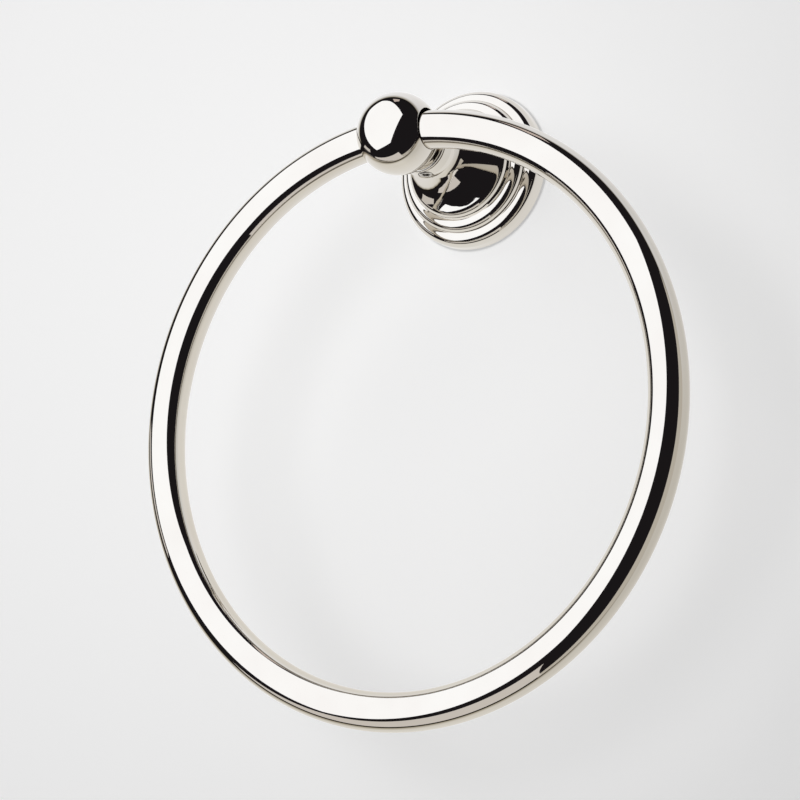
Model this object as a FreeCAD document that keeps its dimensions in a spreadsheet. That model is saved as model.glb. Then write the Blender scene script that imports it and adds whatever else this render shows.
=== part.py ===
import FreeCAD, Part
import math
import operator
import os
from types import SimpleNamespace

import Sketcher

# Towel ring on a round wall rosette, in millimetres.
# The wall is the plane y = 0 and the object stands out from it towards -Y, with +Z up.
# The origin is the centre of the rosette's back face.
# In the sketches of turned pieces the first coordinate is the distance from the axis
# and the second is the height above the wall.

DRIVING_SIZES = {
    # the hanging ring
    "ring_outer_diameter": 152.4,
    "bar_diameter": 9.5,
    # the bored ball and its spigot
    "ball_diameter": 20.7,
    "bore_play": 0.45,
    "bore_drop": 0.25,
    "bore_edge_round": 0.3,
    "seat_gap": 0.1,
    "spigot_diameter": 9.2,
    "spigot_length": 4.1,
    "spigot_chamfer": 0.4,
    "tapping_floor": 0.95,
    # the rosette, from the ogee's foot outwards to the rim and from the wall up
    "ogee_diameter": 29.2,
    "ledge_width": 0.42,
    "second_step": 2.72,
    "first_step": 3.18,
    "rim_height": 2.0,
    "ledge_height": 0.3,
    # the ogee and the waist
    "ogee_height": 13.83,
    "brow_radius": 2.8,
    "brow_angle": 60.0,
    "throat_angle": 32.0,
    "waist_diameter": 9.65,
    "waist_length": 0.47,
    # the collar, the bead and the nose that the ball sits in, one after the other
    "collar_back_diameter": 15.0,
    "collar_back_length": 1.9,
    "collar_edge": 0.25,
    "band_diameter": 15.25,
    "band_step": 0.15,
    "band_front_diameter": 14.15,
    "band_length": 2.3,
    "groove_diameter": 13.4,
    "groove_width": 0.2,
    "bead_radius": 0.55,
    "nose_wall": 0.5,
    "nose_length": 0.94,
    # the hollow behind the rosette
    "wall_thickness": 2.2,
    "hollow_margin": 1.0,
    "core_diameter": 12.0,
    "core_length": 4.9,
    # the concealed fixings
    "fit_clearance": 0.1,
    "end_clearance": 0.3,
    "thread_clearance": 0.05,
    "stud_diameter": 6.0,
    "stud_chamfer": 0.6,
    "stud_play": 0.3,
    "plate_thickness": 3.0,
    "plate_gap": 0.5,
    "screw_hole_diameter": 4.5,
    "screw_head_diameter": 8.2,
    "screw_hole_spacing": 23.0,
    "grub_diameter": 4.0,
    "grub_inset": 2.4,
    "grub_recess": 0.3,
    "grub_chamfer": 0.35,
    "key_width": 2.0,
    "key_floor": 0.9,
}

SIGNS = {"+": operator.add, "-": operator.sub, "*": operator.mul, "/": operator.truediv}


class Size:
    """A number together with the sheet formula that gives it."""

    def __init__(self, number, formula):
        self.number = number
        self.formula = formula

    def __add__(self, other):
        return joined(self, "+", other)

    def __sub__(self, other):
        return joined(self, "-", other)

    def __mul__(self, other):
        return joined(self, "*", other)

    def __truediv__(self, other):
        return joined(self, "/", other)


def as_size(value):
    return value if isinstance(value, Size) else Size(float(value), str(value))


def joined(left, sign, right):
    left, right = as_size(left), as_size(right)
    return Size(SIGNS[sign](left.number, right.number), f"({left.formula} {sign} {right.formula})")


def sine(angle):
    return Size(math.sin(math.radians(angle.number)), f"sin({angle.formula})")


def cosine(angle):
    return Size(math.cos(math.radians(angle.number)), f"cos({angle.formula})")


def other_leg(hypotenuse, leg):
    """The second leg of a right-angled triangle."""
    squares = hypotenuse * hypotenuse - leg * leg
    return Size(math.sqrt(squares.number), f"sqrt({squares.formula})")


doc = FreeCAD.newDocument("TowelRing")
sheet = doc.addObject("Spreadsheet::Sheet", "Sizes")
for row, (alias, value) in enumerate(DRIVING_SIZES.items(), start=1):
    sheet.set(f"A{row}", alias)
    sheet.set(f"B{row}", str(value))
    sheet.setAlias(f"B{row}", alias)
doc.recompute()
s = SimpleNamespace(**{alias: Size(value, f"Sizes.{alias}") for alias, value in DRIVING_SIZES.items()})

ZERO = as_size(0)
X_AXIS = FreeCAD.Vector(1, 0, 0)
Z_AXIS = FreeCAD.Vector(0, 0, 1)
DRILL_TIP_SLOPE = 0.6

# The post's heights above the wall, from the rim to the nose.
first_height = s.rim_height + s.first_step
second_height = first_height + s.second_step
ogee_start = second_height + s.ledge_height
waist_start = ogee_start + s.ogee_height
collar_start = waist_start + s.waist_length
band_start = collar_start + s.collar_back_length
band_end = band_start + s.band_length
groove_end = band_end + s.groove_width
bead_end = groove_end + s.bead_radius * 2
nose_height = bead_end + s.nose_length

# The rosette's radii, from the ogee's foot to the rim.
ogee_radius = s.ogee_diameter / 2
second_radius = ogee_radius + s.ledge_width
first_radius = second_radius + s.second_step
rosette_radius = first_radius + s.first_step
hollow_radius = rosette_radius - s.wall_thickness
grub_height = collar_start + s.grub_inset

# The ball rests in the seat that is turned in the nose, with its spigot in the collar's socket.
ball_radius = s.ball_diameter / 2
seat_radius = ball_radius + s.fit_clearance
spigot_radius = s.spigot_diameter / 2
socket_radius = spigot_radius + s.fit_clearance
nose_radius = socket_radius + s.nose_wall
ball_height = nose_height + other_leg(seat_radius, nose_radius)
bar_radius = s.bar_diameter / 2
bore_radius = bar_radius + s.bore_play
spigot_height = ball_height - ball_radius - s.spigot_length
tapped_radius = s.stud_diameter / 2
drill_tip = tapped_radius * DRILL_TIP_SLOPE
tapped_height = ball_height - bore_radius - s.tapping_floor - drill_tip


def new_body(label):
    body = doc.addObject("PartDesign::Body", label)
    body.Label = label
    return body


def new_sketch(body, name, plane_role, turn_axis=X_AXIS, turn=0):
    """A sketch on one of the body's origin planes, turned there about one of the sketch's axes."""
    plane = next(item for item in body.Origin.OriginFeatures if item.Role == plane_role)
    sketch = body.newObject("Sketcher::SketchObject", name)
    sketch.AttachmentSupport = [(plane, "")]
    sketch.MapMode = "FlatFace"
    sketch.AttachmentOffset = FreeCAD.Placement(FreeCAD.Vector(), FreeCAD.Rotation(turn_axis, turn))
    return sketch


def dimension(sketch, kind, *where, value):
    """A dimensional constraint, tied to the sheet."""
    index = sketch.addConstraint(Sketcher.Constraint(kind, *where, value.number))
    sketch.setExpression(f"Constraints[{index}]", value.formula)


def place_point(sketch, geometry, end, point):
    """Both coordinates of an end point; a zero keeps it on the axis."""
    for value, kind, axis in ((point[0], "DistanceX", -2), (point[1], "DistanceY", -1)):
        if value is ZERO:
            sketch.addConstraint(Sketcher.Constraint("PointOnObject", geometry, end, axis))
        else:
            dimension(sketch, kind, geometry, end, value=value)


def vector(point):
    return FreeCAD.Vector(point[0].number, point[1].number, 0)


def straight(end):
    return {"end": end}


def curved(end, centre, radius):
    return {"end": end, "centre": centre, "radius": radius}


def draw_outline(sketch, start, edges):
    """A closed outline of lines and arcs; each arc takes the short way to its end."""
    previous, count = start, len(edges)
    first_end_of = {}
    for number, edge in enumerate(edges):
        a, b = vector(previous), vector(edge["end"])
        if "centre" in edge:
            centre = vector(edge["centre"])
            circle = Part.Circle(centre, Z_AXIS, edge["radius"].number)
            turn = (a - centre).cross(b - centre).z
            begin, finish = (a, b) if turn > 0 else (b, a)
            first_end_of[number] = 1 if turn > 0 else 2
            sketch.addGeometry(Part.ArcOfCircle(circle, circle.parameter(begin), circle.parameter(finish)), False)
        else:
            first_end_of[number] = 1
            sketch.addGeometry(Part.LineSegment(a, b), False)
        previous = edge["end"]
    for number, edge in enumerate(edges):
        following = (number + 1) % count
        last_end = 3 - first_end_of[number]
        sketch.addConstraint(
            Sketcher.Constraint("Coincident", number, last_end, following, first_end_of[following])
        )
        place_point(sketch, number, last_end, edge["end"])
        if "centre" in edge:
            dimension(sketch, "Radius", number, value=edge["radius"])


def turned(body, kind, name, start, edges):
    """A revolution or groove about the line through the origin at right angles to the wall."""
    sketch = new_sketch(body, f"{name}Outline", "YZ_Plane", Z_AXIS, 90)
    draw_outline(sketch, start, edges)
    feature = body.newObject(f"PartDesign::{kind}", name)
    feature.Profile = sketch
    feature.ReferenceAxis = (sketch, ["V_Axis"])
    feature.Angle = 360
    doc.recompute()
    return feature


def checked_cut(body, feature, volume_before):
    doc.recompute()
    if not body.Shape.Volume < volume_before - 0.01:
        raise RuntimeError(f"{feature.Name} cuts nothing from {body.Label}")
    return feature


def rim_edges(shape, wanted):
    """Names of the edges whose bounding box passes the test."""
    return [
        f"Edge{number}"
        for number, edge in enumerate(shape.Edges, start=1)
        if not edge.Degenerated and wanted(edge.BoundBox)
    ]


def make_ring():
    """One closed circle of round bar; its top runs through the ball's bore and lies just above its seat."""
    centreline_radius = (s.ring_outer_diameter - s.bar_diameter) / 2
    bore_half_length = other_leg(ball_radius, bore_radius)
    bow_in_bore = centreline_radius - other_leg(centreline_radius, bore_half_length)
    rise = s.seat_gap + bow_in_bore + bar_radius - bore_radius - s.bore_drop
    ring = doc.addObject("Part::Torus", "ring")
    ring.Label = "ring"
    ring.setExpression("Radius1", centreline_radius.formula)
    ring.setExpression("Radius2", bar_radius.formula)
    ring.Placement = FreeCAD.Placement(FreeCAD.Vector(), FreeCAD.Rotation(X_AXIS, 90))
    ring.setExpression("Placement.Base.y", f"-{ball_height.formula}")
    ring.setExpression("Placement.Base.z", (rise - centreline_radius).formula)
    return ring


def make_ball():
    """A turned ball with a tapped spigot behind it, cross-bored for the ring."""
    body = new_body("ball")
    spigot_root = ball_height - other_leg(ball_radius, spigot_radius)
    turned(body, "Revolution", "BallAndSpigot", (ZERO, ball_height + ball_radius), [
        curved((spigot_radius, spigot_root), (ZERO, ball_height), ball_radius),
        straight((spigot_radius, spigot_height + s.spigot_chamfer)),
        straight((spigot_radius - s.spigot_chamfer, spigot_height)),
        straight((tapped_radius, spigot_height)),
        straight((tapped_radius, tapped_height)),
        straight((ZERO, tapped_height + drill_tip)),
        straight((ZERO, ball_height + ball_radius)),
    ])
    solid_volume = body.Shape.Volume

    sketch = new_sketch(body, "BoreOutline", "YZ_Plane")
    centre = FreeCAD.Vector(-ball_height.number, -s.bore_drop.number, 0)
    circle = sketch.addGeometry(Part.Circle(centre, Z_AXIS, bore_radius.number), False)
    dimension(sketch, "DistanceX", circle, 3, -1, 1, value=ball_height)
    dimension(sketch, "DistanceY", circle, 3, -1, 1, value=s.bore_drop)
    dimension(sketch, "Radius", circle, value=bore_radius)
    bore = body.newObject("PartDesign::Pocket", "Bore")
    bore.Profile = sketch
    bore.Midplane = True
    bore.setExpression("Length", (s.ball_diameter * 2).formula)
    checked_cut(body, bore, solid_volume)

    mouths = rim_edges(bore.Shape, lambda box: box.XLength < 1 and abs(box.Center.x) > 1)
    rounded = body.newObject("PartDesign::Fillet", "BoreMouths")
    rounded.Base = (bore, mouths)
    rounded.setExpression("Radius", s.bore_edge_round.formula)
    return body


def make_post():
    """Rosette, ogee, waist and collar in one hollow casting, turned all over outside."""
    body = new_body("post")
    waist_radius = s.waist_diameter / 2

    # The brow is a convex arc; two concave arcs, tangent to it and to each other, bring it down to the waist.
    brow_centre = (ogee_radius - s.brow_radius, ogee_start)
    brow_end = (
        brow_centre[0] + s.brow_radius * cosine(s.brow_angle),
        brow_centre[1] + s.brow_radius * sine(s.brow_angle),
    )
    drop = brow_end[0] - waist_radius
    climb = waist_start - brow_end[1]
    sweep_drop = cosine(s.throat_angle) - cosine(s.brow_angle)
    sweep_climb = sine(s.brow_angle) - sine(s.throat_angle)
    throat_drop = as_size(1) - cosine(s.throat_angle)
    throat_climb = sine(s.throat_angle)
    both = sweep_drop * throat_climb - sweep_climb * throat_drop
    sweep_radius = (drop * throat_climb - climb * throat_drop) / both
    throat_radius = (climb * sweep_drop - drop * sweep_climb) / both
    sweep_centre = (
        brow_end[0] + sweep_radius * cosine(s.brow_angle),
        brow_end[1] + sweep_radius * sine(s.brow_angle),
    )
    sweep_end = (
        sweep_centre[0] - sweep_radius * cosine(s.throat_angle),
        sweep_centre[1] - sweep_radius * sine(s.throat_angle),
    )
    throat_centre = (waist_radius + throat_radius, waist_start)

    collar_radius = s.collar_back_diameter / 2
    groove_radius = s.groove_diameter / 2
    bead_centre = (groove_radius, groove_end + s.bead_radius)
    turned(body, "Revolution", "Turning", (ZERO, ZERO), [
        straight((rosette_radius, ZERO)),
        straight((rosette_radius, s.rim_height)),
        curved((first_radius, first_height), (first_radius, s.rim_height), s.first_step),
        curved((second_radius, second_height), (second_radius, first_height), s.second_step),
        straight((ogee_radius, second_height)),
        straight((ogee_radius, ogee_start)),
        curved(brow_end, brow_centre, s.brow_radius),
        curved(sweep_end, sweep_centre, sweep_radius),
        curved((waist_radius, waist_start), throat_centre, throat_radius),
        straight((waist_radius, collar_start)),
        straight((collar_radius - s.collar_edge, collar_start)),
        straight((collar_radius, collar_start + s.collar_edge)),
        straight((collar_radius, band_start)),
        straight((s.band_diameter / 2, band_start + s.band_step)),
        straight((s.band_front_diameter / 2, band_end)),
        straight((groove_radius, band_end)),
        straight((groove_radius, groove_end)),
        curved((groove_radius + s.bead_radius, bead_centre[1]), bead_centre, s.bead_radius),
        curved((groove_radius, bead_end), bead_centre, s.bead_radius),
        straight((nose_radius, bead_end)),
        straight((nose_radius, nose_height)),
        curved((ZERO, ball_height - seat_radius), (ZERO, ball_height), seat_radius),
        straight((ZERO, ZERO)),
    ])

    # The hollow follows the steps outside; a stud hole and the spigot's socket lead on from it.
    plate_recess = s.plate_thickness + s.plate_gap
    second_hollow_radius = first_radius - s.wall_thickness
    third_hollow_radius = ogee_radius - s.wall_thickness
    third_hollow_height = second_height + s.hollow_margin
    core_height = third_hollow_height + s.core_length
    stud_hole_radius = tapped_radius + s.stud_play
    socket_floor = spigot_height - s.end_clearance
    solid_volume = body.Shape.Volume
    hollow = turned(body, "Groove", "Hollow", (ZERO, ZERO), [
        straight((hollow_radius, ZERO)),
        straight((hollow_radius, plate_recess)),
        straight((second_hollow_radius, plate_recess)),
        straight((second_hollow_radius, first_height + s.hollow_margin)),
        straight((third_hollow_radius, first_height + s.hollow_margin)),
        straight((third_hollow_radius, third_hollow_height)),
        straight((s.core_diameter / 2, core_height)),
        straight((stud_hole_radius, core_height)),
        straight((stud_hole_radius, socket_floor)),
        straight((socket_radius, socket_floor)),
        straight((socket_radius, ball_height)),
        straight((ZERO, ball_height)),
        straight((ZERO, ZERO)),
    ])
    checked_cut(body, hollow, solid_volume)

    hollow_volume = body.Shape.Volume
    sketch = new_sketch(body, "GrubHoleOutline", "XY_Plane", X_AXIS, 180)
    centre = FreeCAD.Vector(0, grub_height.number, 0)
    circle = sketch.addGeometry(Part.Circle(centre, Z_AXIS, s.grub_diameter.number / 2), False)
    sketch.addConstraint(Sketcher.Constraint("PointOnObject", circle, 3, -2))
    dimension(sketch, "DistanceY", circle, 3, value=grub_height)
    dimension(sketch, "Diameter", circle, value=s.grub_diameter)
    grub_hole = body.newObject("PartDesign::Pocket", "GrubHole")
    grub_hole.Profile = sketch
    grub_hole.Reversed = True
    grub_hole.setExpression("Length", s.collar_back_diameter.formula)
    checked_cut(body, grub_hole, hollow_volume)
    return body


def make_stud():
    """Threaded rod from the mounting plate into the ball's spigot."""
    body = new_body("stud")
    radius = tapped_radius - s.thread_clearance
    end = tapped_height - s.end_clearance
    turned(body, "Revolution", "Rod", (ZERO, s.end_clearance), [
        straight((radius - s.stud_chamfer, s.end_clearance)),
        straight((radius, s.end_clearance + s.stud_chamfer)),
        straight((radius, end - s.stud_chamfer)),
        straight((radius - s.stud_chamfer, end)),
        straight((ZERO, end)),
        straight((ZERO, s.end_clearance)),
    ])
    return body


def make_mounting_plate():
    """Steel disc that is screwed to the wall inside the rosette, tapped at its centre for the stud."""
    body = new_body("mounting_plate")
    radius = hollow_radius - s.end_clearance
    turned(body, "Revolution", "Disc", (tapped_radius, ZERO), [
        straight((radius, ZERO)),
        straight((radius, s.plate_thickness)),
        straight((tapped_radius, s.plate_thickness)),
        straight((tapped_radius, ZERO)),
    ])

    disc_volume = body.Shape.Volume
    sketch = new_sketch(body, "ScrewHoleOutline", "XZ_Plane")
    for side in (-1, 1):
        centre = FreeCAD.Vector(side * s.screw_hole_spacing.number / 2, 0, 0)
        hole = Part.Circle(centre, Z_AXIS, s.screw_hole_diameter.number / 2)
        sketch.addGeometry(hole, False)
    for circle in (0, 1):
        sketch.addConstraint(Sketcher.Constraint("PointOnObject", circle, 3, -1))
        dimension(sketch, "Diameter", circle, value=s.screw_hole_diameter)
    dimension(sketch, "DistanceX", 0, 3, -1, 1, value=s.screw_hole_spacing / 2)
    dimension(sketch, "DistanceX", -1, 1, 1, 3, value=s.screw_hole_spacing / 2)
    holes = body.newObject("PartDesign::Pocket", "ScrewHoles")
    holes.Profile = sketch
    holes.Midplane = True
    holes.setExpression("Length", (s.plate_thickness * 4).formula)
    checked_cut(body, holes, disc_volume)

    mouths = rim_edges(
        holes.Shape,
        lambda box: abs(box.Center.x) > 1 and abs(box.YMin + s.plate_thickness.number) < 0.1 > box.YLength,
    )
    countersinks = body.newObject("PartDesign::Chamfer", "Countersinks")
    countersinks.Base = (holes, mouths)
    countersinks.setExpression("Size", ((s.screw_head_diameter - s.screw_hole_diameter) / 2).formula)
    return body


def make_grub_screw():
    """Short socket screw in the collar's underside that bites on the ball's spigot."""
    body = new_body("grub_screw")
    radius = s.grub_diameter / 2 - s.thread_clearance
    outer_face = s.band_diameter / 2 - s.grub_recess
    length = outer_face - spigot_radius - s.thread_clearance
    turned(body, "Revolution", "Shank", (ZERO, ZERO), [
        straight((radius - s.grub_chamfer, ZERO)),
        straight((radius, s.grub_chamfer)),
        straight((radius, length - s.grub_chamfer)),
        straight((radius - s.grub_chamfer, length)),
        straight((ZERO, length)),
        straight((ZERO, ZERO)),
    ])

    shank_volume = body.Shape.Volume
    sketch = new_sketch(body, "KeyOutline", "XZ_Plane")
    corner_radius = s.key_width / math.sqrt(3)
    corners = [
        FreeCAD.Vector(math.sin(math.radians(60 * turn)), math.cos(math.radians(60 * turn)), 0)
        * corner_radius.number
        for turn in range(6)
    ]
    for turn in range(6):
        sketch.addGeometry(Part.LineSegment(corners[turn], corners[(turn + 1) % 6]), False)
    circle = sketch.addGeometry(
        Part.Circle(FreeCAD.Vector(), Z_AXIS, corner_radius.number), True
    )
    sketch.addConstraint(Sketcher.Constraint("Coincident", circle, 3, -1, 1))
    dimension(sketch, "Radius", circle, value=corner_radius)
    for turn in range(6):
        sketch.addConstraint(Sketcher.Constraint("Coincident", turn, 2, (turn + 1) % 6, 1))
        sketch.addConstraint(Sketcher.Constraint("PointOnObject", turn, 1, circle))
    for turn in range(5):
        sketch.addConstraint(Sketcher.Constraint("Equal", turn, turn + 1))
    sketch.addConstraint(Sketcher.Constraint("PointOnObject", 0, 1, -2))
    key = body.newObject("PartDesign::Pocket", "KeySocket")
    key.Profile = sketch
    key.Reversed = True
    key.setExpression("Length", (length - s.key_floor).formula)
    checked_cut(body, key, shank_volume)

    body.Placement = FreeCAD.Placement(FreeCAD.Vector(), FreeCAD.Rotation(X_AXIS, -90))
    body.setExpression("Placement.Base.y", f"-{grub_height.formula}")
    body.setExpression("Placement.Base.z", f"-{outer_face.formula}")
    return body


pieces = [make_ring(), make_ball(), make_post(), make_stud(), make_mounting_plate(), make_grub_screw()]
doc.recompute()

for item in doc.Objects:
    if "Invalid" in item.State or "Error" in item.State:
        raise RuntimeError(f"{item.Label} did not build: {item.State}")
for piece in pieces:
    if piece.Shape.isNull() or not piece.Shape.isValid() or len(piece.Shape.Solids) != 1:
        raise RuntimeError(f"{piece.Label} is not one valid solid")

os.makedirs("parts", exist_ok=True)
for piece in pieces:
    piece.Shape.exportStep(f"parts/{piece.Label}.step")
    box = piece.Shape.BoundBox
    print(f"{piece.Label}: {piece.Shape.Volume:.1f} mm3, "
          f"x {box.XMin:.2f} to {box.XMax:.2f}, y {box.YMin:.2f} to {box.YMax:.2f}, "
          f"z {box.ZMin:.2f} to {box.ZMax:.2f}")
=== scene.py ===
"""A wall-mounted towel ring in polished nickel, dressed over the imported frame."""
import math

import bmesh
import bpy
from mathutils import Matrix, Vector


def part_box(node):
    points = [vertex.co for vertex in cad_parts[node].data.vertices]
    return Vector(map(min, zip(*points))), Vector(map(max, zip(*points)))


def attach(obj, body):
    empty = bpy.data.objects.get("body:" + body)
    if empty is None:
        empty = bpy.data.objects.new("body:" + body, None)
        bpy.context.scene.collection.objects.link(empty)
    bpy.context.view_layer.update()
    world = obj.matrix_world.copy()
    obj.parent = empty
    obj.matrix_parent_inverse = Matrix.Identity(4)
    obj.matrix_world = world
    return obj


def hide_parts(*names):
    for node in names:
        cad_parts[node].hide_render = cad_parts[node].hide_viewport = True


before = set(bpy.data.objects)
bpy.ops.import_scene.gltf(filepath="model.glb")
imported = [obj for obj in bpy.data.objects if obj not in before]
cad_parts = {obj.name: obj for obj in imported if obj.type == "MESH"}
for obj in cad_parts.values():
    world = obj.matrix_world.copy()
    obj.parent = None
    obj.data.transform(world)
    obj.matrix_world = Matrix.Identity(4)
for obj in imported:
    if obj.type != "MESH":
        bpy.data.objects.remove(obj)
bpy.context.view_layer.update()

# Post: brass, turned all over, buffed and nickel plated, so it is a mirror with a warm grey tint. Buffing
# leaves hair-fine marks, and handling an uneven gloss. Ball and ring have the same plate.


def linear(colour):
    """A hex colour as linear red, green, blue and alpha."""
    channels = [int(colour[i:i + 2], 16) / 255 for i in (1, 3, 5)]
    return [c / 12.92 if c <= 0.04045 else ((c + 0.055) / 1.055) ** 2.4 for c in channels] + [1.0]


def add(tree, kind, inputs=(), **settings):
    """Adds a node; each input is a plain value or the socket that feeds it."""
    node = tree.nodes.new(kind)
    for name, value in settings.items():
        setattr(node, name, value)
    for key, value in dict(inputs).items():
        if isinstance(value, bpy.types.NodeSocket):
            tree.links.new(value, node.inputs[key])
        else:
            node.inputs[key].default_value = value
    return node


def new_material(name):
    """An empty node material and its tree."""
    material = bpy.data.materials.new(name)
    material.use_nodes = True
    material.node_tree.nodes.clear()
    return material, material.node_tree


def spread(tree, pattern, start, end, low, high):
    """Maps a pattern's range from start to end onto low to high."""
    limits = {"Value": pattern, "From Min": start, "From Max": end, "To Min": low, "To Max": high}
    return add(tree, "ShaderNodeMapRange", limits).outputs["Result"]


def blend(tree, factor, first, second):
    """Mixes two hex colours by a pattern."""
    colours = {0: factor, 6: linear(first), 7: linear(second)}
    return add(tree, "ShaderNodeMix", colours, data_type="RGBA").outputs[2]


polished_nickel, tree = new_material("polished_nickel_plate")
place = add(tree, "ShaderNodeTexCoord").outputs["Object"]
# The tone drifts over about 17 mm and the haze over 4 mm; the marks are 0.1 mm wide and 0.4 to 1.4 mm long.
tone = add(tree, "ShaderNodeTexNoise", {"Vector": place, "Scale": 60.0, "Detail": 3.0}).outputs["Fac"]
haze = add(tree, "ShaderNodeTexNoise", {"Vector": place, "Scale": 240.0, "Detail": 4.0}).outputs["Fac"]
stretch = add(tree, "ShaderNodeMapping", {"Vector": place, "Scale": (700.0, 9000.0, 2600.0)}).outputs[0]
marks = add(tree, "ShaderNodeTexNoise", {"Vector": stretch, "Scale": 1.0, "Detail": 2.0}).outputs["Fac"]
buffed = add(tree, "ShaderNodeBump", {"Height": marks, "Strength": 0.01, "Distance": 0.00002}).outputs[0]
surface = add(tree, "ShaderNodeBsdfPrincipled", {
    "Base Color": blend(tree, spread(tree, tone, 0.35, 0.65, 0.0, 1.0), "#DAD5CC", "#D7D1C8"),
    "Metallic": 1.0,
    "Roughness": spread(tree, haze, 0.3, 0.7, 0.012, 0.035),
    "Normal": buffed,
}).outputs[0]
add(tree, "ShaderNodeOutputMaterial", {"Surface": surface})
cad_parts["post"].data.materials.clear()
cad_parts["post"].data.materials.append(polished_nickel)

# Ball: a solid brass turning, cross-bored for the ring, its mouths rounded by the buffing, and plated.
# Each loop is a section through the bore's axis; behind the ball is its tapped spigot.
MM = 0.001


def skin(name, loops, closed=False):
    """Joins equal loops of points, in mm, into one closed mesh; edges over 35 degrees stay sharp."""
    mesh = bmesh.new()
    rows = [[mesh.verts.new(Vector(point) * MM) for point in loop] for loop in loops]
    count = len(rows[0])
    for row, after in zip(rows, rows[1:] + rows[:1] if closed else rows[1:]):
        for k in range(count):
            mesh.faces.new((row[k], row[(k + 1) % count], after[(k + 1) % count], after[k]))
    if not closed:
        mesh.faces.new(rows[0])
        mesh.faces.new(rows[-1][::-1])
    bmesh.ops.recalc_face_normals(mesh, faces=mesh.faces)
    for face in mesh.faces:
        face.smooth = True
    for edge in mesh.edges:
        edge.smooth = edge.calc_face_angle(0.0) < math.radians(35)
    data = bpy.data.meshes.new(name)
    mesh.to_mesh(data)
    mesh.free()
    piece = bpy.data.objects.new(name, data)
    bpy.context.scene.collection.objects.link(piece)
    return piece


ball_low, ball_high = (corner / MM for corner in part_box("ball"))
ball_radius = (ball_high.z - ball_low.z) / 2
ball_height = -ball_low.y - ball_radius
bore_radius, bore_drop, mouth_round = 5.15, 0.25, 0.12
sections, arc_steps, lip_steps = 320, 120, 8
loops = []
for i in range(sections):
    turn = 2 * math.pi * i / sections
    off_centre = bore_drop * math.sin(turn)
    reach = math.sqrt(ball_radius ** 2 - bore_drop ** 2 + off_centre ** 2)
    edge = bore_radius + mouth_round
    side = math.sqrt((reach - mouth_round) ** 2 - (edge - off_centre) ** 2)
    mouth = math.atan2(edge - off_centre, side)
    along = [(math.pi - mouth) - (math.pi - 2 * mouth) * k / arc_steps for k in range(arc_steps + 1)]
    section = [(reach * math.cos(t), off_centre + reach * math.sin(t)) for t in along]
    lip = [mouth - (mouth + math.pi / 2) * k / lip_steps for k in range(1, lip_steps + 1)]
    section += [(side + mouth_round * math.cos(t), edge + mouth_round * math.sin(t)) for t in lip]
    section += [(-side - mouth_round * math.cos(t), edge + mouth_round * math.sin(t)) for t in lip[::-1]]
    loops.append([(x, -ball_height + r * math.cos(turn), -bore_drop + r * math.sin(turn)) for x, r in section])
polished_ball = skin("polished_ball", loops, closed=True)
spigot_end, spigot_root = -ball_high.y, 28.9
spigot_radius, tapped_radius, chamfer = 4.6, 3.0, 0.4
corners = (
    (spigot_radius, spigot_root), (spigot_radius, spigot_end + chamfer), (spigot_radius - chamfer, spigot_end),
    (tapped_radius, spigot_end), (tapped_radius, spigot_root))
spigot_steps = 96
turns = [2 * math.pi * k / spigot_steps for k in range(spigot_steps)]
loops = [[(radius * math.cos(t), -height, radius * math.sin(t)) for t in turns] for radius, height in corners]
ball_spigot = skin("ball_spigot", loops, closed=True)
for piece in (polished_ball, ball_spigot):
    piece.data.materials.append(polished_nickel)
    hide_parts("ball")
    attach(piece, "holder")

# Ring: 3/8 in round brass bar, rolled to a circle 6 in over all, brazed end to end, buffed and plated like
# the rest. The joint is hidden in the ball, so the bar is one plain closed tube of surface here.
ring_low, ring_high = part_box("ring")
ring_centre = (ring_low + ring_high) / 2 / MM
bar_radius, outer_radius = 4.75, 76.2
ring_radius = outer_radius - bar_radius
around_steps, bar_steps = 512, 96
loops = []
for i in range(around_steps):
    around = 2 * math.pi * i / around_steps
    outward = Vector((math.sin(around), 0, math.cos(around)))
    loop = []
    for k in range(bar_steps):
        turn = 2 * math.pi * k / bar_steps
        across = outward * (ring_radius + bar_radius * math.cos(turn))
        loop.append(ring_centre + across + Vector((0, bar_radius * math.sin(turn), 0)))
    loops.append(loop)
ring_bar = skin("ring_bar", loops, closed=True)
ring_bar.data.materials.append(polished_nickel)
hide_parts("ring")
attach(ring_bar, "ring")

# Mounting plate: stamped steel, zinc plated and passivated, so it is blue grey and faintly mottled. The
# mottle is about 3 mm across and the grain of the rolled sheet 0.4 mm.
zinc_plate, tree = new_material("bright_zinc_plate")
place = add(tree, "ShaderNodeTexCoord").outputs["Object"]
mottle = add(tree, "ShaderNodeTexNoise", {"Vector": place, "Scale": 350.0, "Detail": 5.0}).outputs["Fac"]
grain = add(tree, "ShaderNodeTexNoise", {"Vector": place, "Scale": 2600.0, "Detail": 3.0}).outputs["Fac"]
relief = add(tree, "ShaderNodeBump", {"Height": grain, "Strength": 0.25, "Distance": 0.00005}).outputs[0]
surface = add(tree, "ShaderNodeBsdfPrincipled", {
    "Base Color": blend(tree, spread(tree, mottle, 0.3, 0.7, 0.0, 1.0), "#A9AFB4", "#C3C7C8"),
    "Metallic": 1.0,
    "Roughness": spread(tree, grain, 0.25, 0.75, 0.28, 0.46),
    "Normal": relief,
}).outputs[0]
add(tree, "ShaderNodeOutputMaterial", {"Surface": surface})
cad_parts["mounting_plate"].data.materials.clear()
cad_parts["mounting_plate"].data.materials.append(zinc_plate)

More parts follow.
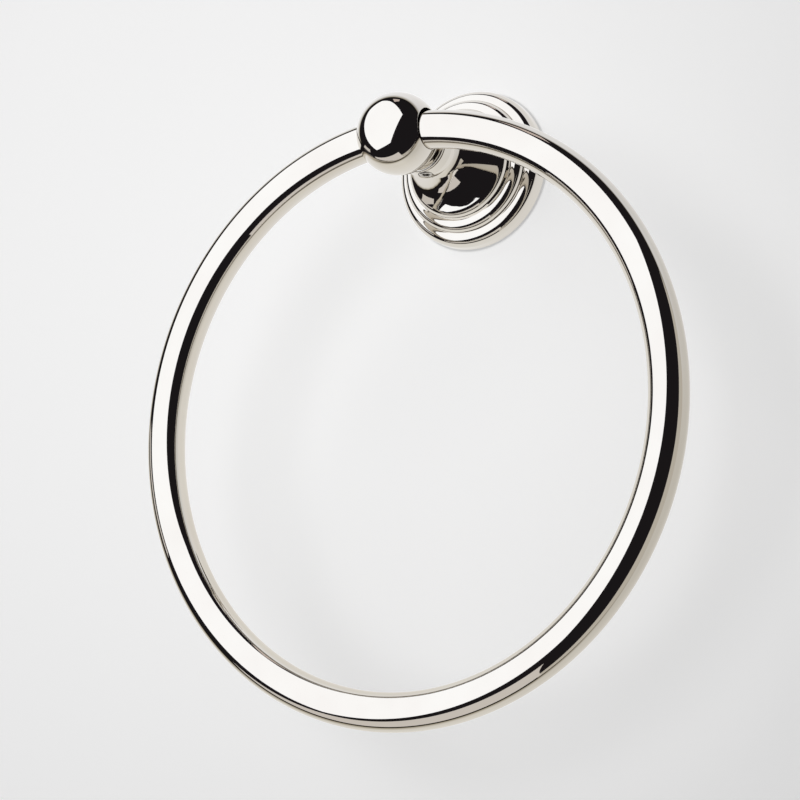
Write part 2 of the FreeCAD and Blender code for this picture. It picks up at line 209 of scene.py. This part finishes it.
# Stud: M6 steel rod with a rolled thread, cut to length, its ends bevelled, and zinc plated. It joins the
# mounting plate to the ball's spigot, so that the post is held between the ball and the wall.
stud_low, stud_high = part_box("stud")
rod_end, rod_start = -stud_low.y / MM, -stud_high.y / MM
rod_radius, rod_pitch, rod_depth, rod_bevel = 2.95, 1.0, 0.55, 0.6
rod_steps, turn_steps = round((rod_end - rod_start) / 0.1), 48
loops = []
for i in range(rod_steps + 1):
    height = rod_start + (rod_end - rod_start) * i / rod_steps
    bevel = rod_radius - rod_bevel + min(height - rod_start, rod_end - height)
    loop = []
    for k in range(turn_steps):
        turn = 2 * math.pi * k / turn_steps
        phase = (height / rod_pitch + turn / (2 * math.pi)) % 1
        radius = min(bevel, rod_radius - rod_depth * abs(2 * phase - 1))
        loop.append((radius * math.cos(turn), -height, radius * math.sin(turn)))
    loops.append(loop)
threaded_rod = skin("threaded_rod", loops)
threaded_rod.data.materials.append(zinc_plate)
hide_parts("stud")
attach(threaded_rod, "holder")

# Grub screw: M4 socket screw in plain stainless steel, turned with a chamfer and broached for a 2 mm key.
# The turning lines are 0.1 mm apart along the screw.
stainless, tree = new_material("turned_stainless_steel")
place = add(tree, "ShaderNodeTexCoord").outputs["Object"]
lines = add(tree, "ShaderNodeMapping", {"Vector": place, "Scale": (500.0, 500.0, 9000.0)}).outputs[0]
turning = add(tree, "ShaderNodeTexNoise", {"Vector": lines, "Scale": 1.0, "Detail": 3.0}).outputs["Fac"]
relief = add(tree, "ShaderNodeBump", {"Height": turning, "Strength": 0.1, "Distance": 0.00003}).outputs[0]
surface = add(tree, "ShaderNodeBsdfPrincipled", {
    "Base Color": blend(tree, turning, "#C2BEB7", "#D8D5CF"),
    "Metallic": 1.0,
    "Roughness": spread(tree, turning, 0.2, 0.8, 0.24, 0.36),
    "Normal": relief,
}).outputs[0]
add(tree, "ShaderNodeOutputMaterial", {"Surface": surface})
grub_low, grub_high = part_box("grub_screw")
grub_axis = -(grub_low.y + grub_high.y) / 2 / MM
grub_outer, grub_inner = grub_low.z / MM, grub_high.z / MM
grub_radius, grub_pitch, grub_depth, grub_bevel = 1.95, 0.7, 0.35, 0.35
key_across, key_bevel, key_floor, key_tip, tip_radius = 2.0, 0.12, 0.9, 0.3, 0.1
grub_steps = 44
loops = []


def grub_loop(level, radius_at):
    """One loop of points at a height along the screw."""
    turns = [2 * math.pi * k / turn_steps for k in range(turn_steps)]
    return [(radius_at(t) * math.cos(t), -grub_axis + radius_at(t) * math.sin(t), level) for t in turns]


def key_radius(turn):
    """Distance from the screw's axis to the flats of the hexagonal socket."""
    return key_across / 2 / math.cos((turn + math.pi / 6) % (math.pi / 3) - math.pi / 6)


def thread_radius(level, turn):
    """Radius of the bevelled thread at a height along the screw."""
    bevel = grub_radius - grub_bevel + min(grub_inner - level, level - grub_outer)
    phase = (level / grub_pitch + turn / (2 * math.pi)) % 1
    return min(bevel, grub_radius - grub_depth * abs(2 * phase - 1))


for i in range(grub_steps + 1):
    level = grub_inner + (grub_outer - grub_inner) * i / grub_steps
    loops.append(grub_loop(level, lambda t: thread_radius(level, t)))
loops.append(grub_loop(grub_outer, lambda t: key_radius(t) + key_bevel))
loops.append(grub_loop(grub_outer + key_bevel, key_radius))
loops.append(grub_loop(grub_inner - key_floor, key_radius))
loops.append(grub_loop(grub_inner - key_floor + key_tip, lambda t: tip_radius))
socket_screw = skin("socket_screw", loops)
socket_screw.data.materials.append(stainless)
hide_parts("grub_screw")
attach(socket_screw, "holder")

# Wall: smooth pale paint, half a millimetre behind the rosette, lit by two lamps and by a painted glow that is
# brightest at the upper left, with a painted contact shadow in the crack round the rosette. Mirrored in the
# metal its light is all painted: dimmer on the right and ending 0.35 m away. Seen from behind it is clear, and
# open behind the rosette.
wall_paint_and_painted_light, tree = new_material("pale_wall_paint_and_painted_light")
rays = add(tree, "ShaderNodeLightPath").outputs
behind = add(tree, "ShaderNodeNewGeometry").outputs["Backfacing"]
place = add(tree, "ShaderNodeTexCoord").outputs["Object"]
axes = add(tree, "ShaderNodeSeparateXYZ", {0: place}).outputs
matt = add(tree, "ShaderNodeBsdfDiffuse", {"Color": linear("#A8A8A8")}).outputs[0]
# Painted light: the glow that the camera sees is brighter towards the upper left and weaker away from the
# middle, a painted falloff on top of the lamps' light.
slope = add(tree, "ShaderNodeVectorMath", {
    0: place, 1: (-1.0, 0.0, 0.63),
}, operation="DOT_PRODUCT").outputs["Value"]
middle = add(tree, "ShaderNodeVectorMath", {
    0: place, 1: (-0.02, 0.0, -0.03),
}, operation="DISTANCE").outputs["Value"]
painted_falloff = add(tree, "ShaderNodeMath", {
    0: spread(tree, slope, -0.2, 0.2, 0.61, 0.75),
    1: spread(tree, middle, 0.05, 0.2, 0.0, 0.1),
}, operation="SUBTRACT").outputs[0]
# Painted shadow: the glow is cut to 0.6 out to 21.1 mm from the axis and comes back by 21.6 mm, a painted
# contact shadow round the rosette's edge.
near = add(tree, "ShaderNodeVectorMath", {0: place}, operation="LENGTH").outputs["Value"]
painted_contact_shadow = spread(tree, near, 0.0211, 0.0216, 0.6, 1.0)
strength = add(tree, "ShaderNodeMath", {0: painted_falloff, 1: painted_contact_shadow}, operation="MULTIPLY").outputs[0]
painted_glow = add(tree, "ShaderNodeEmission", {"Color": linear("#FFFFFF"), "Strength": strength}).outputs[0]
lit = add(tree, "ShaderNodeAddShader", {0: matt, 1: painted_glow}).outputs[0]
# Painted light in reflections: glossy rays see the wall as a glowing patch, white out to 0.18 m, fading
# through warm greys and olive to dark by 0.35 m, warmer below, cooler above, dimmer on the right and brighter
# at the top.
away = add(tree, "ShaderNodeVectorMath", {
    0: place, 1: (0.05, 0.0, -0.05),
}, operation="DISTANCE").outputs["Value"]
painted_light_fade = add(tree, "ShaderNodeValToRGB", {0: spread(tree, away, 0.0, 0.5, 0.0, 1.0)})
for stop, shade in (
    (0.36, "#FFFFFF"), (0.45, "#E1DFDB"), (0.55, "#BCB7AC"), (0.64, "#A39C88"), (0.69, "#1F1D1E"),
):
    mark = painted_light_fade.color_ramp.elements.new(stop)
    mark.color = linear(shade)
painted_light_fade.color_ramp.elements.remove(painted_light_fade.color_ramp.elements[0])
painted_light_fade.color_ramp.elements.remove(painted_light_fade.color_ramp.elements[-1])
height = spread(tree, axes["Z"], -0.1, 0.1, 0.0, 1.0)
painted_light_tint = blend(tree, height, "#FFFDF8", "#F5F8FF")
shade = add(tree, "ShaderNodeMix", {
    0: 1.0, 6: painted_light_fade.outputs[0], 7: painted_light_tint,
}, data_type="RGBA", blend_type="MULTIPLY").outputs[2]
painted_dimming = add(tree, "ShaderNodeMath", {
    0: spread(tree, axes["Z"], -0.1, 0.1, 0.86, 1.13),
    1: spread(tree, axes["X"], 0.0, 0.1, 1.04, 0.83),
}, operation="MULTIPLY").outputs[0]
mirrored = add(tree, "ShaderNodeEmission", {"Color": shade, "Strength": painted_dimming}).outputs[0]
front = add(tree, "ShaderNodeMixShader", {0: rays["Is Glossy Ray"], 1: lit, 2: mirrored}).outputs[0]
clear = add(tree, "ShaderNodeBsdfTransparent").outputs[0]
wall_surface = add(tree, "ShaderNodeMixShader", {0: behind, 1: front, 2: clear}).outputs[0]
add(tree, "ShaderNodeOutputMaterial", {"Surface": wall_surface})
opening, half_width, wall_gap, spokes = 20.0, 3000.0, 0.5, 64
mesh = bmesh.new()
rows = []
for reach, square in ((opening, False), (3 * opening, False), (half_width, True)):
    row = []
    for k in range(spokes):
        turn = 2 * math.pi * (k + 0.5) / spokes
        across, up = math.cos(turn), math.sin(turn)
        scale = reach / max(abs(across), abs(up)) if square else reach
        row.append(mesh.verts.new(Vector((across * scale, wall_gap, up * scale)) * MM))
    rows.append(row)
for row, outer in zip(rows, rows[1:]):
    for k in range(spokes):
        mesh.faces.new((row[k], row[(k + 1) % spokes], outer[(k + 1) % spokes], outer[k]))
data = bpy.data.meshes.new("wall")
mesh.to_mesh(data)
mesh.free()
wall = bpy.data.objects.new("wall", data)
wall.data.materials.append(wall_paint_and_painted_light)
bpy.context.scene.collection.objects.link(wall)
if wall.data.polygons[0].normal.y > 0:
    wall.data.flip_normals()

# Softbox and boards, seen by the metal alone: an eight-sided box in front, near on the right and far on
# the left, a white board below, small ones above and on the left, and a narrow card beside the ring. Each
# is a fan of corners, in metres.
for name, shade, strength, corners in (
    ("softbox", "#F3F7FF", 1.54, (
        (0.243, -0.274, 0.239), (0.028, -0.378, -0.288), (-0.576, -0.395, -0.533), (-0.626, -0.247, 0.117),
        (-0.771, -0.109, 0.693), (-0.478, -0.057, 1.01), (-0.11, -0.154, 0.678), (0.12, -0.237, 0.372))),
    ("low_board", "#E6E2E0", 1.0, (
        (-0.312, -0.057, -0.221), (0.048, -0.112, -0.221), (0.052, -0.038, -0.221), (-0.265, -0.032, -0.221))),
    ("warm_board", "#DCCFCB", 1.0, (
        (-0.15, -0.038, 1.0), (0.0, -0.228, 1.0), (0.11, -0.138, 1.0), (0.06, -0.008, 1.0))),
    ("left_board", "#E0DCDA", 1.0, (
        (-0.22, -0.03, -0.03), (-0.22, -0.062, -0.036), (-0.22, -0.092, -0.1), (-0.22, -0.062, -0.106))),
    ("right_card", "#CFCBC3", 1.0, (
        (0.1, -0.037, -0.02), (0.1, -0.0405, -0.03), (0.1, -0.0442, -0.07), (0.1, -0.0447, -0.11),
        (0.1, -0.0475, -0.178), (0.1, -0.055, -0.32), (0.1, -0.1, -0.6), (0.1, 0.0, -0.6),
        (0.1, -0.029, -0.178))),
):
    cloth, tree = new_material(name + "_cloth")
    bright = add(tree, "ShaderNodeEmission", {"Color": linear(shade), "Strength": strength}).outputs[0]
    add(tree, "ShaderNodeOutputMaterial", {"Surface": bright})
    data = bpy.data.meshes.new(name)
    fan = [(0, k, k + 1) for k in range(1, len(corners) - 1)]
    data.from_pydata(corners, [], fan)
    board = bpy.data.objects.new(name, data)
    board.data.materials.append(cloth)
    board.visible_camera = False
    board.visible_diffuse = False
    board.visible_shadow = False
    bpy.context.scene.collection.objects.link(board)

# Soft lights for matt surfaces: two on the wall, nearly straight in front and from the upper left, and
# one behind it for the fixing.
for name, spot, aim, size, power in (
    ("front_light", (-0.2, -1.5, 0.05), (0.0, 0.0, -0.04), 0.95, 8.5),
    ("upper_light", (-0.9, -1.1, 0.9), (0.0, 0.0, -0.04), 0.8, 6.0),
    ("back_light", (0.35, 0.9, 0.45), (0.0, 0.0, 0.0), 0.5, 6.0),
):
    lamp = bpy.data.lights.new(name, "AREA")
    lamp.shape = "SQUARE"
    lamp.size = size
    lamp.energy = power
    light = bpy.data.objects.new(name, lamp)
    light.location = spot
    light.rotation_mode = "QUATERNION"
    light.rotation_quaternion = (Vector(aim) - Vector(spot)).to_track_quat("-Z", "Y")
    light.visible_glossy = name == "back_light"
    bpy.context.scene.collection.objects.link(light)

# Room: dark to reflections, as in a studio, and about as pale as the wall to the camera, which sees it past
# the wall's edge or, from behind, through the wall.
world = bpy.data.worlds.new("studio")
bpy.context.scene.world = world
world.use_nodes = True
tree = world.node_tree
tree.nodes.clear()
rays = add(tree, "ShaderNodeLightPath").outputs
dark = add(tree, "ShaderNodeBackground", {"Color": linear("#1F1D20"), "Strength": 1.0}).outputs[0]
pale = add(tree, "ShaderNodeBackground", {"Color": linear("#ECEBE9"), "Strength": 1.0}).outputs[0]
seen = add(tree, "ShaderNodeMixShader", {0: rays["Is Camera Ray"], 1: dark, 2: pale}).outputs[0]
add(tree, "ShaderNodeOutputWorld", {"Surface": seen})

# Camera: below and to the right of the ring, looking up and to the left, 0.6 m away with a long lens. Its
# place and lens come from a fit to the outlines of the ring, the ball and the rosette.
camera_data = bpy.data.cameras.new("camera")
camera_data.sensor_width = 36.0
camera_data.lens = 105.79
camera = bpy.data.objects.new("camera", camera_data)
camera.location = Vector((294.885, -512.235, -184.548)) * MM
camera.rotation_euler = [math.radians(angle) for angle in (101.828, 0.671, 32.046)]
bpy.context.scene.collection.objects.link(camera)
bpy.context.scene.camera = camera
bpy.context.scene.view_settings.view_transform = "Standard"
